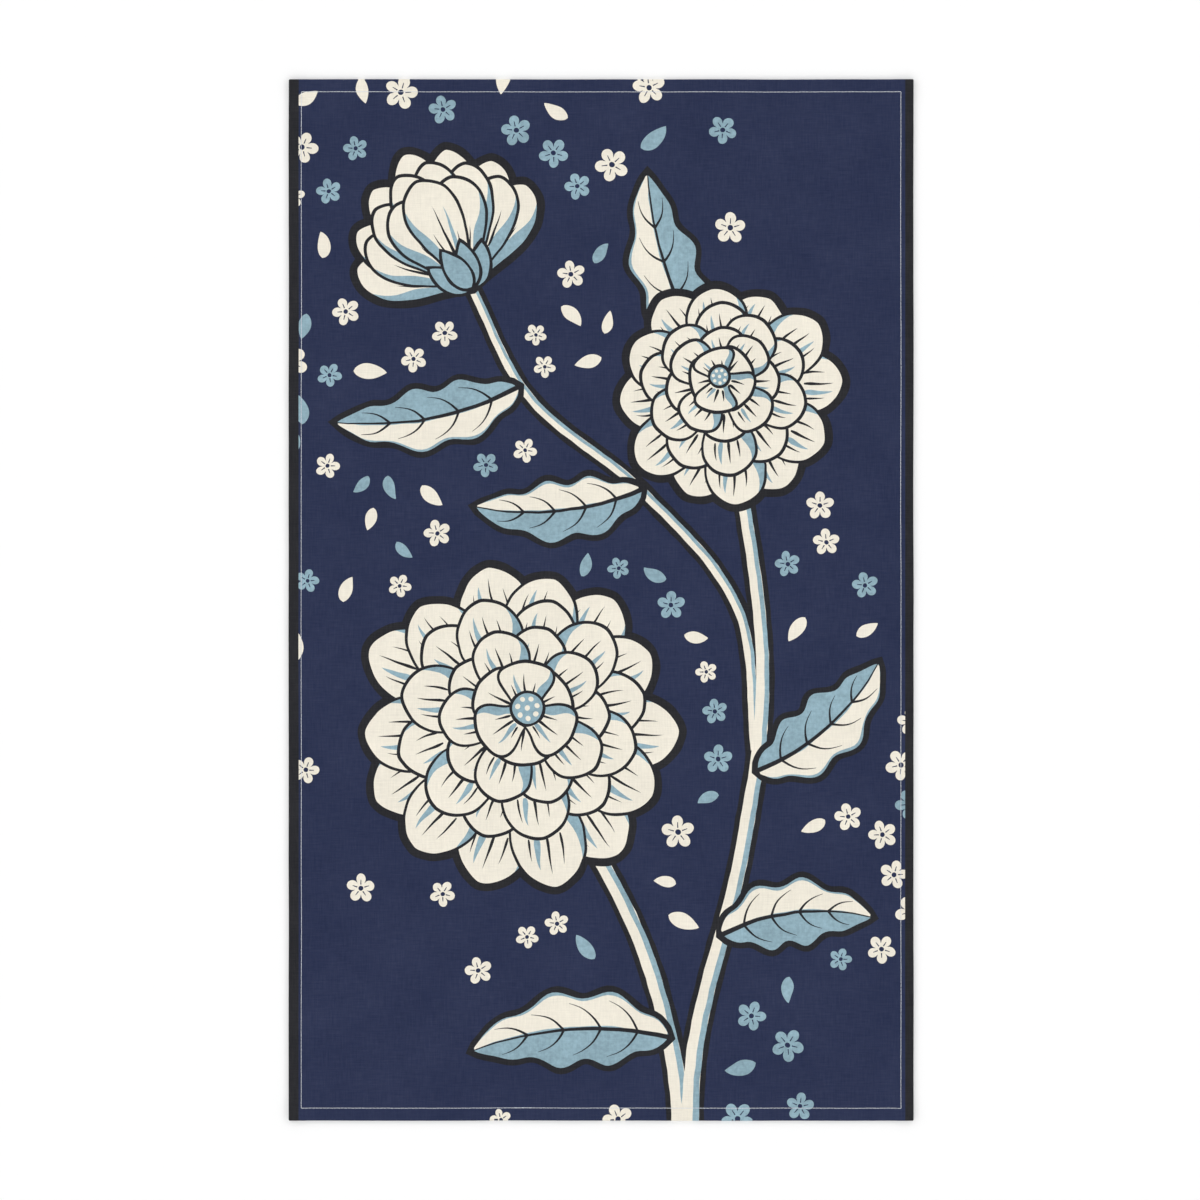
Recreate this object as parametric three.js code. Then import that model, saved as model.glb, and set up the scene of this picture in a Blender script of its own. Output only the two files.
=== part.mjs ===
// A rectangular tea towel laid out flat with its printed side up.
// Millimetres, +Z up. X runs across the towel and +Y towards its top end.
// The origin is the middle of the underside, on the surface that the towel lies on.
import * as THREE from 'three';

// Finished size, from folded edge to folded edge: 18 by 30 inches.
const TOWEL_WIDTH = 457.2;
const TOWEL_LENGTH = 762.0;

// Thickness of the single cloth, and of the hem where it is folded over twice.
const CLOTH_THICKNESS = 1.0;
const HEM_THICKNESS = 2.0;
const HEM_WIDTH = 11.0;

// The row of stitches that holds the hem draws the cloth into a shallow groove.
const SEAM_INSET = 9.3;
const SEAM_HALF_WIDTH = 0.9;
const SEAM_DEPTH = 0.35;

// The folded edge is a half round with a short blunt nose.
const FOLD_RADIUS = HEM_THICKNESS / 2;
const NOSE_ANGLE = Math.PI / 9;
const FOLD_STEPS = 3;

// Past the hem's inner fold the single cloth sinks to the surface in a soft slope.
const INNER_STEP = 0.3;
const SLOPE_WIDTH = 18.0;
const SLOPE_STEPS = 5;

// Where two hems cross, the extra layers raise the corner.
const CORNER_RISE = 0.7;
const CORNER_FADE = 6.0;

// Lines across the level middle, between the slopes of opposite hems.
const FIELD_COLUMNS = 8;
const FIELD_ROWS = 13;

// The section across a hem, from the folded edge inwards. Each row gives how far
// in it lies and the heights of the cloth's upper and under faces there.
function hemSection() {
  const rows = [];
  for (let step = 0; step <= FOLD_STEPS; step++) {
    const angle = THREE.MathUtils.lerp(NOSE_ANGLE, Math.PI / 2, step / FOLD_STEPS);
    const inset = FOLD_RADIUS * (Math.cos(NOSE_ANGLE) - Math.cos(angle));
    const rise = FOLD_RADIUS * Math.sin(angle);
    rows.push({ inset, upper: FOLD_RADIUS + rise, under: FOLD_RADIUS - rise });
  }
  for (const side of [-1, 0, 1]) {
    const drawnIn = side === 0 ? SEAM_DEPTH : 0;
    rows.push({
      inset: SEAM_INSET + side * SEAM_HALF_WIDTH,
      upper: HEM_THICKNESS - drawnIn,
      under: 0,
    });
  }
  rows.push({ inset: HEM_WIDTH, upper: HEM_THICKNESS, under: 0 });
  const lift = HEM_THICKNESS - CLOTH_THICKNESS;
  for (let step = 0; step <= SLOPE_STEPS; step++) {
    const along = step / SLOPE_STEPS;
    const under = lift * (1 - THREE.MathUtils.smoothstep(along, 0, 1));
    rows.push({
      inset: HEM_WIDTH + INNER_STEP + SLOPE_WIDTH * along,
      upper: CLOTH_THICKNESS + under,
      under,
    });
  }
  return rows;
}

// The places of the grid lines along one direction of the towel, lowest first:
// every row of the hem's section at both ends, and even lines between them.
function gridLines(size, section, fieldLines) {
  const insets = section.map((row) => row.inset);
  const first = insets.at(-1);
  const between = [];
  for (let line = 1; line <= fieldLines; line++) {
    between.push(THREE.MathUtils.lerp(first, size - first, line / (fieldLines + 1)));
  }
  const far = insets.map((inset) => size - inset).reverse();
  return [...insets, ...between, ...far].map((place) => place - size / 2);
}

// Reads one face's height at a distance from the nearest folded edge.
function heightAt(section, inset, face) {
  const next = section.findIndex((row) => row.inset >= inset);
  if (next < 0) return section.at(-1)[face];
  if (next === 0) return section[0][face];
  const before = section[next - 1];
  const after = section[next];
  const share = (inset - before.inset) / (after.inset - before.inset);
  return THREE.MathUtils.lerp(before[face], after[face], share);
}

// From 0 at the folded edge to 1 over the hem, and back to 0 a little past it.
function hemShare(inset) {
  const on = THREE.MathUtils.smoothstep(inset, 0, FOLD_RADIUS);
  const off = THREE.MathUtils.smoothstep(inset, HEM_WIDTH, HEM_WIDTH + CORNER_FADE);
  return on * (1 - off);
}

function towelGeometry() {
  const section = hemSection();
  const columns = gridLines(TOWEL_WIDTH, section, FIELD_COLUMNS);
  const rows = gridLines(TOWEL_LENGTH, section, FIELD_ROWS);

  // A unit box with one cell for each gap between grid lines. Each of its
  // vertices is moved to its own two lines and to the height of its face there.
  const geometry = new THREE.BoxGeometry(1, 1, 1, columns.length - 1, rows.length - 1, 1);
  const position = geometry.getAttribute('position');
  for (let i = 0; i < position.count; i++) {
    const column = Math.round((position.getX(i) + 0.5) * (columns.length - 1));
    const row = Math.round((position.getY(i) + 0.5) * (rows.length - 1));
    const isUpper = position.getZ(i) > 0;
    const fromSide = TOWEL_WIDTH / 2 - Math.abs(columns[column]);
    const fromEnd = TOWEL_LENGTH / 2 - Math.abs(rows[row]);
    let height = heightAt(section, Math.min(fromSide, fromEnd), isUpper ? 'upper' : 'under');
    if (isUpper) height += CORNER_RISE * hemShare(fromSide) * hemShare(fromEnd);
    position.setXYZ(i, columns[column], rows[row], height);
  }
  geometry.computeVertexNormals();
  return geometry;
}

const printedCotton = new THREE.MeshStandardMaterial({
  color: 0x2f3651,
  roughness: 0.92,
  metalness: 0,
});

const towel = new THREE.Mesh(towelGeometry(), printedCotton);
towel.name = 'tea_towel';

const part = new THREE.Group();
part.add(towel);

export default part;
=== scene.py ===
"""A printed cotton tea towel that lies flat with its printed side up.

Metres, +Z up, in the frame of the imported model: X runs across the towel, +Y towards its top end,
and the origin is the middle of its underside, on the surface that it lies on.
"""
import cmath
import math
import random
from typing import NamedTuple

import bpy
import numpy as np
from bpy.props import FloatProperty, FloatVectorProperty, IntProperty, PointerProperty
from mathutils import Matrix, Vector, noise
from mathutils.geometry import delaunay_2d_cdt


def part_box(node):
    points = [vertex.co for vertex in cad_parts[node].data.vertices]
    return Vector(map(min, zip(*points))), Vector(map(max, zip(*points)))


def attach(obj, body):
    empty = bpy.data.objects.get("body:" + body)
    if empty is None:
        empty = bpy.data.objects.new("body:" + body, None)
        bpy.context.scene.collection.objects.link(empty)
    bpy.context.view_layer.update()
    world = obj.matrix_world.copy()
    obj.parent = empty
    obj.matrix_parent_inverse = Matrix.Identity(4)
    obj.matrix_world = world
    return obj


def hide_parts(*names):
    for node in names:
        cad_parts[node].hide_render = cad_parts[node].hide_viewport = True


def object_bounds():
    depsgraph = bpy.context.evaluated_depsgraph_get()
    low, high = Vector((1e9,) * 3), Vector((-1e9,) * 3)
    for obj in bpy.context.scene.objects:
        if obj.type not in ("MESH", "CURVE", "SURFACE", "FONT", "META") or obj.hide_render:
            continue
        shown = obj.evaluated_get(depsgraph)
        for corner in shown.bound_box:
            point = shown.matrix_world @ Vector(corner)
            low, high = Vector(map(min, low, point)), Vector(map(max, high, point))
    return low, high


bl_info = {
    "name": "Printed Tea Towel",
    "version": (1, 0, 0),
    "blender": (4, 5, 0),
    "location": "3D View > Sidebar > Tea Towel",
    "description": "Makes a hemmed and printed cotton tea towel, its stitches and its stage",
    "category": "Add Mesh",
}

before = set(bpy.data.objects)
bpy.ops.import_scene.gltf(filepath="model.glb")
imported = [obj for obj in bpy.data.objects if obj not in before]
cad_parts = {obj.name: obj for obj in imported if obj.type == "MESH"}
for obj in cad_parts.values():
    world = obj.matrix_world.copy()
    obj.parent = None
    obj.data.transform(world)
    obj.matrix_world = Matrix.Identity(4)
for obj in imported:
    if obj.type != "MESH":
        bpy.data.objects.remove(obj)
CAD_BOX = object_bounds()
CLOTH_LOW, CLOTH_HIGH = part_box("tea_towel")
TOWEL_WIDTH = CLOTH_HIGH.x - CLOTH_LOW.x
TOWEL_LENGTH = CLOTH_HIGH.y - CLOTH_LOW.y


# The settings that a user would change

def length_setting(name, description, default):
    """A length in metres, shown with enough digits for thread and cloth."""
    return FloatProperty(
        name=name, description=description, default=default, min=0.0, unit="LENGTH", precision=5
    )


def colour_setting(name, description, default):
    """A linear colour."""
    return FloatVectorProperty(
        name=name, description=description, default=default, subtype="COLOR", size=3, min=0.0, max=1.0
    )


class TeaTowelClothSettings(bpy.types.PropertyGroup):
    """Sizes of the cloth and its hems."""

    thickness: length_setting("Cloth Thickness", "Thickness of the single cloth", 0.0010)
    hem_thickness: length_setting("Hem Thickness", "Thickness of the folded hem", 0.0020)
    hem_width: length_setting("Hem Width", "Width of the hem from the folded edge", 0.0110)
    hem_fall: length_setting("Hem Fall", "Width of the slope beside the hem", 0.0090)
    corner_rise: length_setting("Corner Rise", "Extra height where two hems cross", 0.0006)
    unevenness: length_setting("Unevenness", "Height of the cloth's gentle swells", 0.00022)
    waver: length_setting("Edge Waver", "How far the edges stray from straight", 0.00025)
    undyed: colour_setting("Undyed Cotton", "Colour of the unprinted back", (0.78, 0.75, 0.68))


class TeaTowelPrintSettings(bpy.types.PropertyGroup):
    """Inks and sizes of the printed pattern."""

    navy: colour_setting("Navy Ink", "Ground of the print", (0.0180, 0.0260, 0.0690))
    dark: colour_setting("Dark Ink", "Lines of the print and its side bands", (0.0160, 0.0165, 0.0205))
    cream: colour_setting("Cream Ink", "Lit parts of the motifs", (0.805, 0.758, 0.652))
    blue: colour_setting("Pale Blue Ink", "Shaded parts of the motifs", (0.255, 0.385, 0.450))
    contour: length_setting("Contour", "Width of the line round a whole motif", 0.0046)
    line: length_setting("Line", "Half the width of the lines inside a motif", 0.0011)
    left_band: length_setting("Left Band", "Width of the dark band on the left", 0.0074)
    right_band: length_setting("Right Band", "Width of the dark band on the right", 0.0062)
    scattered: IntProperty(
        name="Scattered Motifs", description="How many small blossoms and leaves are strewn",
        default=92, min=0,
    )
    seed: IntProperty(name="Seed", description="Chooses the hand-drawn variation", default=11, min=0)
    show_through: FloatProperty(
        name="Show Through", description="How much of the print shows on the back", default=0.16,
        min=0.0, max=1.0, subtype="FACTOR",
    )


class TeaTowelSewingSettings(bpy.types.PropertyGroup):
    """Sizes of the stitches that hold the hems."""

    inset: length_setting("Seam Inset", "Distance of the seam from the folded edge", 0.0093)
    stitch: length_setting("Stitch Length", "Distance from one needle hole to the next", 0.0026)
    gap: length_setting("Stitch Gap", "Length of each stitch that is out of sight", 0.00002)
    thread: length_setting("Thread Thickness", "Thickness of the sewing thread", 0.00042)
    depth: length_setting("Seam Depth", "How deep the thread draws the cloth in", 0.00032)
    jitter: length_setting("Jitter", "How far a stitch strays to the side", 0.00005)
    seed: IntProperty(name="Seed", description="Chooses which way each stitch strays", default=5, min=0)
    colour: colour_setting("Thread Colour", "Colour of the sewing thread", (0.74, 0.77, 0.83))


class TeaTowelStageSettings(bpy.types.PropertyGroup):
    """The camera, the lamps and the floor."""

    view_width: length_setting("View Width", "Width of the view at the towel", 0.8778)
    view_shift: length_setting("View Shift", "How far the towel lies right of the view's middle", 0.0008)
    lens: FloatProperty(
        name="Focal Length", description="Focal length of the camera", default=100.0, min=1.0, unit="CAMERA"
    )
    daylight: FloatProperty(
        name="Daylight", description="Strength of the even light", default=0.322, min=0.0
    )
    side_light: FloatProperty(
        name="Side Light", description="Strength of the low light from all sides", default=1.93, min=0.0
    )
    key_light: FloatProperty(
        name="Key Light", description="Strength of the large soft lamp overhead", default=0.894, min=0.0
    )
    floor: colour_setting("Floor Colour", "Colour of the pale floor", (0.901, 0.901, 0.901))


# Drawing in the plane of the print.
# A place is a complex number: its real part runs across the towel and its imaginary part along it.

# Steps along a brush stroke, along the shaded side of a petal, and between two places of a stem.
STROKE_STEPS = 9
SHADE_STEPS = 16
STEM_STEPS = 22

# Points round a printed dot.
DOT_POINTS = 14

# Places of an outline that lie closer than this are one place.
SAME_PLACE = 3e-5


def between(start, end, share):
    """The number or place that lies a share of the way from start to end."""
    return start + (end - start) * share


def eased(share):
    """0 to 1 with a soft start and a soft end."""
    share = min(max(share, 0.0), 1.0)
    return share * share * (3 - 2 * share)


def even(count):
    """Shares from 0 to 1 in even steps."""
    return [step / count for step in range(count + 1)]


def stray(place, layer):
    """A smooth random offset of up to about 1 along and across, with its own pattern in each layer."""
    across = noise.noise(Vector((place.real, place.imag, layer)))
    along = noise.noise(Vector((place.real, place.imag, layer + 5.5)))
    return complex(across, along)


def circle(centre, radius, count, turn=0.0):
    """Even places round a circle."""
    return [centre + cmath.rect(radius, turn + math.tau * step / count) for step in range(count)]


class Blade(NamedTuple):
    """A petal, sepal or leaf on a bent midline."""

    base: complex
    heading: float
    length: float
    width: float
    bend: float
    shape: object

    def place(self, along, across=0.0):
        """along is 0 at the base and 1 at the tip; across is -1 and 1 at the two edges."""
        half_bend = self.bend * along / 2
        shortened = math.sin(half_bend) / half_bend if abs(half_bend) > 1e-6 else 1.0
        middle = self.base + cmath.rect(self.length * along * shortened, self.heading + half_bend)
        half_width = self.shape(along) * self.width / 2
        return middle + across * cmath.rect(half_width, self.heading + 2 * half_bend + math.pi / 2)

    def outline(self, steps):
        """The blade's edge, up its right side and back down its left."""
        right = [self.place(along, -1) for along in steps]
        left = [self.place(along, 1) for along in reversed(steps)]
        return right + left

    def band(self, start, end, low, high, count):
        """A patch between two lines along the blade, each a function of 0 to 1 that gives across."""
        shares = even(count)
        one = [self.place(between(start, end, share), low(share)) for share in shares]
        two = [self.place(between(start, end, share), high(share)) for share in reversed(shares)]
        return one + two

    def stroke(self, start, end, across_start, across_end, thickness):
        """A brush stroke along the blade. It swells from its root and is drawn out to a point."""
        least_half_width = 1e-4

        def side(sign):
            def across(share):
                half_width = max(self.shape(between(start, end, share)) * self.width / 2, least_half_width)
                swelling = min(1.0, 0.45 + 3 * share)
                thinning = (1 - share) ** 0.75
                body = thickness / 2 * swelling * thinning
                return between(across_start, across_end, share ** 1.2) + sign * body / half_width
            return across

        return self.band(start, end, side(-1), side(1), STROKE_STEPS)


def petal_shape(along):
    """Narrow at the base and widest two thirds of the way up, with a blunt tip."""
    widest = 0.66
    base_width = 0.42
    if along < widest:
        return between(base_width, 1.0, eased(along / widest))
    to_tip = (along - widest) / (1 - widest)
    return max(0.0, 1 - to_tip ** 2.3) ** 0.62


def leaf_shape(along):
    """Pointed at both ends, with shallow lobes down the edges."""
    lobes = 3.5
    lobe_depth = 0.26
    body = math.sin(math.pi * min(max(along, 0.0), 1.0) ** 0.85) ** 0.8
    lobe = 0.5 - 0.5 * math.cos(math.tau * lobes * along)
    return body * (1 - lobe_depth * lobe * eased(along * 6) * eased((1 - along) * 4))


def sepal_shape(along):
    """Pointed at both ends and fullest below the middle."""
    return math.sin(math.pi * min(max(along, 0.0), 1.0) ** 0.8) ** 0.8


LEAF_STEPS = even(44)
SEPAL_STEPS = even(18)


def petal_steps(covered):
    """Shares of a petal's length: few in the part that is covered, and ever closer towards the tip."""
    hidden = max(0.0, covered - 0.12)
    low = [hidden * share for share in even(3)[:-1]]
    high = [hidden + (1 - hidden) * math.sin(math.pi / 2 * share) for share in even(26)]
    return low + high


def closed(outline):
    """The outline counter-clockwise, without points that repeat."""
    kept = []
    for place in outline:
        if not kept or abs(place - kept[-1]) > SAME_PLACE:
            kept.append(place)
    if abs(kept[0] - kept[-1]) <= SAME_PLACE:
        kept.pop()
    twice_area = sum((a.conjugate() * b).imag for a, b in zip(kept, kept[1:] + kept[:1]))
    return kept if twice_area > 0 else kept[::-1]


def distance_to(outline, place):
    """The distance from a place to the nearest edge of an outline."""
    nearest = math.inf
    for start, end in zip(outline, outline[1:] + outline[:1]):
        edge = end - start
        share = ((place - start) * edge.conjugate()).real / max(abs(edge) ** 2, 1e-18)
        nearest = min(nearest, abs(place - start - edge * min(max(share, 0.0), 1.0)))
    return nearest


def holds(outline, place):
    """Whether a place lies inside an outline."""
    odd = False
    for start, end in zip(outline, outline[1:] + outline[:1]):
        if (start.imag > place.imag) != (end.imag > place.imag):
            share = (place.imag - start.imag) / (end.imag - start.imag)
            if place.real < between(start.real, end.real, share):
                odd = not odd
    return odd


def swollen(outline, margin):
    """The outline moved outwards by a margin, or inwards by a negative one, without loops."""
    outline = closed(outline)
    longest_mitre = 1.8
    # A moved place that comes nearer to the outline than this lies on a loop.
    loop_distance = 0.93 * abs(margin)
    moved = []
    for before, here, after in zip(outline[-1:] + outline[:-1], outline, outline[1:] + outline[:1]):
        arriving = (here - before) / abs(here - before)
        leaving = (after - here) / abs(after - here)
        travel = arriving + leaving
        travel = travel / abs(travel) if abs(travel) > 1e-3 else 1j * arriving
        mitre = min(1 / max((travel.conjugate() * arriving).real, 0.1), longest_mitre)
        place = here - 1j * travel * margin * mitre
        if distance_to(outline, place) > loop_distance:
            moved.append(place)
    return moved


def smooth_line(places):
    """A smooth line through the given places."""
    ends = [2 * places[0] - places[1], *places, 2 * places[-1] - places[-2]]
    line = []
    for a, b, c, d in zip(ends, ends[1:], ends[2:], ends[3:]):
        slope = c - a
        bend = 2 * a - 5 * b + 4 * c - d
        twist = 3 * b - a - 3 * c + d
        for t in even(STEM_STEPS)[:-1]:
            line.append(0.5 * (2 * b + slope * t + bend * t * t + twist * t ** 3))
    return line + [places[-1]]


def tapered(root_width, tip_width):
    """A width that changes evenly from root to tip."""
    return lambda share: between(root_width, tip_width, share)


def strip(line, width, left_reach=1.0):
    """A strip along a line. Its width is a function of the way along it.

    left_reach says how far it reaches to the left, as a share of half the width.
    """
    last = len(line) - 1
    right, left = [], []
    for index, place in enumerate(line):
        travel = line[min(index + 1, last)] - line[max(index - 1, 0)]
        side = 1j * travel / abs(travel) * width(index / last) / 2
        right.append(place - side)
        left.append(place + side * left_reach)
    return right + left[::-1]


# The printed pattern: three blossoms on their stems, and small blossoms strewn around them

class Blossom(NamedTuple):
    """A blossom seen face on. A ring of petals is a count and a share of the radius, outermost first."""

    middle: complex
    radius: float
    turn: float
    lean: complex
    rings: tuple


class OpeningBlossom(NamedTuple):
    """A blossom seen from the side, on top of its stem."""

    base: complex
    heading: float
    length: float


class PetalRow(NamedTuple):
    """One fan of petals of an opening blossom; lengths are shares of the blossom's."""

    count: int
    spread: float
    length: float
    width: float
    covered: float


class Vein(NamedTuple):
    """A brush stroke up a petal, from its root to a random share of the part that shows.

    across is -1 and 1 at the petal's edges. The stroke has a thickness or a share of the petal's width.
    """

    ink: str
    shortest: float
    longest: float
    across_root: float
    across_tip: float
    thickness: float = 0.0
    width_share: float = 0.0


class Stem(NamedTuple):
    """A stem through a few places, from its root to its tip."""

    places: tuple
    root_width: float
    tip_width: float


class Leaf(NamedTuple):
    """A leaf from its stalk to its tip. lit is the side that is cream: 1 for the left, -1 for the right."""

    base: complex
    tip: complex
    width: float
    bend: float
    lit: int


BLOSSOMS = (
    Blossom(middle=0.092 + 0.150j, radius=0.083, turn=0.1, lean=-0.006 + 0.015j,
            rings=((12, 1.0), (10, 0.74), (8, 0.50), (5, 0.29))),
    Blossom(middle=-0.062 - 0.092j, radius=0.119, turn=0.0, lean=0.009 + 0.014j,
            rings=((14, 1.0), (12, 0.76), (10, 0.54), (6, 0.32))),
)

OPENING_BLOSSOM = OpeningBlossom(base=-0.098 + 0.236j, heading=2.05, length=0.102)

PETAL_ROWS = (
    PetalRow(count=7, spread=1.25, length=1.00, width=0.36, covered=0.45),
    PetalRow(count=6, spread=0.95, length=0.90, width=0.36, covered=0.45),
    PetalRow(count=3, spread=0.42, length=0.78, width=0.40, covered=0.25),
)

VEINS = (
    Vein("blue", 0.40, 0.60, across_root=-0.30, across_tip=-0.46, width_share=0.11),
    Vein("dark", 0.50, 0.68, across_root=-0.02, across_tip=-0.10, thickness=0.0027),
    Vein("dark", 0.30, 0.46, across_root=0.34, across_tip=0.36, thickness=0.0023),
    Vein("dark", 0.20, 0.38, across_root=-0.52, across_tip=-0.60, thickness=0.0021),
)

# A branch comes before the stem that it grows from, so that the stem covers its root.
STEMS = (
    Stem(
        places=(0.113 - 0.110j, 0.100 - 0.006j, 0.032 + 0.078j, -0.052 + 0.148j, OPENING_BLOSSOM.base),
        root_width=0.007, tip_width=0.006,
    ),
    Stem(
        places=(0.060 - 0.420j, 0.052 - 0.330j, 0.018 - 0.225j, BLOSSOMS[1].middle),
        root_width=0.013, tip_width=0.009,
    ),
    Stem(
        places=(0.064 - 0.420j, 0.070 - 0.320j, 0.104 - 0.180j, 0.118 - 0.040j, BLOSSOMS[0].middle),
        root_width=0.013, tip_width=0.008,
    ),
)

LEAVES = (
    Leaf(base=0.050 - 0.320j, tip=-0.094 - 0.330j, width=0.060, bend=0.6, lit=-1),
    Leaf(base=0.088 - 0.245j, tip=0.198 - 0.232j, width=0.054, bend=-0.7, lit=1),
    Leaf(base=0.114 - 0.125j, tip=0.203 - 0.046j, width=0.054, bend=0.7, lit=-1),
    Leaf(base=0.030 + 0.081j, tip=-0.092 + 0.068j, width=0.049, bend=-0.6, lit=-1),
    Leaf(base=-0.060 + 0.156j, tip=-0.194 + 0.130j, width=0.050, bend=-0.6, lit=1),
    Leaf(base=0.077 + 0.180j, tip=0.034 + 0.312j, width=0.054, bend=-0.5, lit=1),
)

# The strewn motifs lie thickest along the diagonal that falls from the top left, and leave the
# lower right corner bare.
SCATTER_BREADTH = 0.30
BARE_CORNER_WIDTH = 0.070
BARE_CORNER_HEIGHT = 0.105

# How often a place is tried for them, how large and how far apart they are, and what they are.
SCATTER_TRIES = 9000
SCATTER_SIZES = (0.0080, 0.0125)
SCATTER_GAP = 0.006
CREAM_SHARE = 0.68
BLOSSOM_SHARE = 0.62

# Stems and leaves have this share of the contour round a whole motif.
THIN_CONTOUR = 0.85

# How far a drawn line strays from its true place, and how many swerves it makes in a metre.
DRIFT = 0.00030
SWERVES = 90

# The inks, and how mottled each has dried.
INKS = ("navy", "dark", "cream", "blue")
MOTTLE = {"navy": 0.25, "dark": 0.15, "cream": 0.10, "blue": 1.00}


class Print:
    """The printed patches in the order of printing, and the outlines that strewn motifs keep clear of."""

    def __init__(self, settings):
        self.settings = settings
        self.random = random.Random(settings.seed)
        self.patches = []
        self.outlines = []

    def fill(self, ink, outline, drift=DRIFT):
        """Prints one patch, with the small swerves of a hand-cut line."""
        layer = 10.0 * INKS.index(ink)
        drawn = [place + 2 * drift * stray(place * SWERVES, layer) for place in closed(outline)]
        self.patches.append((ink, drawn))

    def contour(self, outline, share=1.0):
        """Prints the thick dark line round a motif, and keeps the strewn motifs off it."""
        self.fill("dark", swollen(outline, self.settings.contour * share))
        self.outlines.append(outline)

    def petal(self, blade, lit, covered):
        """One petal: its cream, a blue shade along one side, fine veins and the line round it.

        covered is the share of its length that lies under the next petals.
        """
        chance = self.random.uniform
        edge = blade.outline(petal_steps(covered))
        self.fill("cream", edge)
        root = max(0.0, covered - 0.10)
        depth = chance(0.60, 0.84)
        top = chance(0.84, 0.94)

        def shade_edge(share):
            ripple = 0.90 + 0.10 * math.cos(4 * math.pi * share)
            return lit * (1 - depth * (1 - share ** 1.8) * ripple)

        self.fill("blue", blade.band(root * 0.25, top, lambda share: lit, shade_edge, SHADE_STEPS))
        for vein in VEINS:
            reach = covered + (1 - covered) * chance(vein.shortest, vein.longest)
            thickness = vein.thickness + vein.width_share * blade.width
            across_root, across_tip = lit * vein.across_root, lit * vein.across_tip
            self.fill(vein.ink, blade.stroke(root, reach, across_root, across_tip, thickness))

        def line_width(share):
            """The line is thickest round the tip, half way along the edge."""
            return 2 * self.settings.line * (0.72 + 0.42 * math.sin(math.pi * share))

        self.fill("dark", strip(edge, line_width))

    def blossom(self, row):
        """A blossom of overlapping rings of petals round a dotted button."""
        chance = self.random.uniform
        core = 0.06 * row.radius
        button_share = 0.10
        overlap = 1.02
        light_turn = 0.8
        shares = [share for _, share in row.rings] + [button_share]
        layers = []
        for ring, (count, share) in enumerate(row.rings):
            petals = []
            for k in range(count):
                angle = row.turn + math.tau * (k + 0.5 * (ring % 2)) / count + chance(-0.05, 0.05)
                length = row.radius * share * chance(0.93, 1.05) - core * share
                bend = chance(-0.30, 0.30)
                base = row.middle + row.lean * (1 - share) + cmath.rect(core * share, angle)
                width = math.tau * row.radius * share / count * overlap
                petals.append(Blade(base, angle - bend / 2, length, width, bend, petal_shape))
            layers.append(petals)
        for ring in (0, 1):
            for blade in layers[ring]:
                self.contour(blade.outline(petal_steps(shares[ring + 1] / shares[ring])))
        for ring, petals in enumerate(layers):
            for blade in petals[::2] + petals[1::2]:
                lit = 1 if math.cos(blade.heading + light_turn) > 0 else -1
                self.petal(blade, lit, shares[ring + 1] / shares[ring])
        self.button(row.middle + row.lean * 0.9, row.radius * row.rings[-1][1] * 0.32)

    def button(self, middle, radius):
        """The round middle of a blossom, with a ring of dots."""
        edge = circle(middle, radius, 36)
        self.fill("dark", swollen(edge, self.settings.line))
        self.fill("blue", swollen(edge, -self.settings.line))
        for centre in [middle] + circle(middle, radius * 0.60, 7, 0.3):
            self.fill("cream", circle(centre, radius * 0.16, DOT_POINTS))

    def opening_blossom(self, row):
        """A blossom seen from the side: fans of petals behind each other, in a cup of sepals."""
        chance = self.random.uniform
        fans = []
        for fan in PETAL_ROWS:
            petals = []
            for share in even(fan.count - 1):
                off = between(-fan.spread, fan.spread, share) + chance(-0.05, 0.05)
                length = row.length * fan.length * (1 - 0.16 * abs(off))
                width = row.length * fan.width
                petals.append(Blade(row.base, row.heading + off, length, width, -0.35 * off, petal_shape))
            petals.sort(key=lambda blade: -abs(blade.heading - row.heading))
            fans.append((petals, fan.covered))
        for petals, covered in fans:
            for blade in petals:
                self.contour(blade.outline(petal_steps(covered)))
        for petals, covered in fans:
            for blade in petals:
                self.petal(blade, 1 if blade.heading > row.heading else -1, covered)
        foot = row.base - cmath.rect(row.length * 0.08, row.heading)
        sepal_length, sepal_width = row.length * 0.34, row.length * 0.16
        for off in (-0.9, 0.9, -0.3, 0.3):
            sepal = Blade(foot, row.heading + off, sepal_length, sepal_width, -0.5 * off, sepal_shape)
            edge = sepal.outline(SEPAL_STEPS)
            self.fill("dark", swollen(edge, self.settings.line * 1.7))
            self.fill("blue", swollen(edge, -self.settings.line * 0.3))

    def stems(self):
        """All stems: their contours first, so that they run into each other."""
        lines = [(smooth_line(row.places), tapered(row.root_width, row.tip_width)) for row in STEMS]
        for line, width in lines:
            self.contour(strip(line, width), THIN_CONTOUR)
        for line, width in lines:
            self.fill("cream", strip(line, width))
            self.fill("blue", strip(line, width, left_reach=-0.28))

    def leaf(self, row):
        """A leaf with one cream and one blue half, a dark midrib and bowed side veins."""
        chord = row.tip - row.base
        length = abs(chord) * (row.bend / 2) / math.sin(row.bend / 2)
        blade = Blade(row.base, cmath.phase(chord) - row.bend / 2, length, row.width, row.bend, leaf_shape)
        edge = blade.outline(LEAF_STEPS)
        self.contour(edge, THIN_CONTOUR)
        self.fill("blue", swollen(edge, -0.0004))
        inner = [0.012, *LEAF_STEPS[1:-1], 0.988]
        middle = [blade.place(along, row.lit * 0.07) for along in inner]
        rim = [blade.place(along, row.lit * 0.90) for along in reversed(inner)]
        self.fill("cream", middle + rim)
        spine = [blade.place(share) for share in even(16)]
        self.fill("dark", strip(spine, tapered(0.0036, 0.0008)))
        for along in (0.16 + 0.185 * k for k in range(4)):
            for side in (-1, 1):
                self.side_vein(blade.place(along), blade.place(along + 0.15, side * 0.74), side * 0.12)

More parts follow.
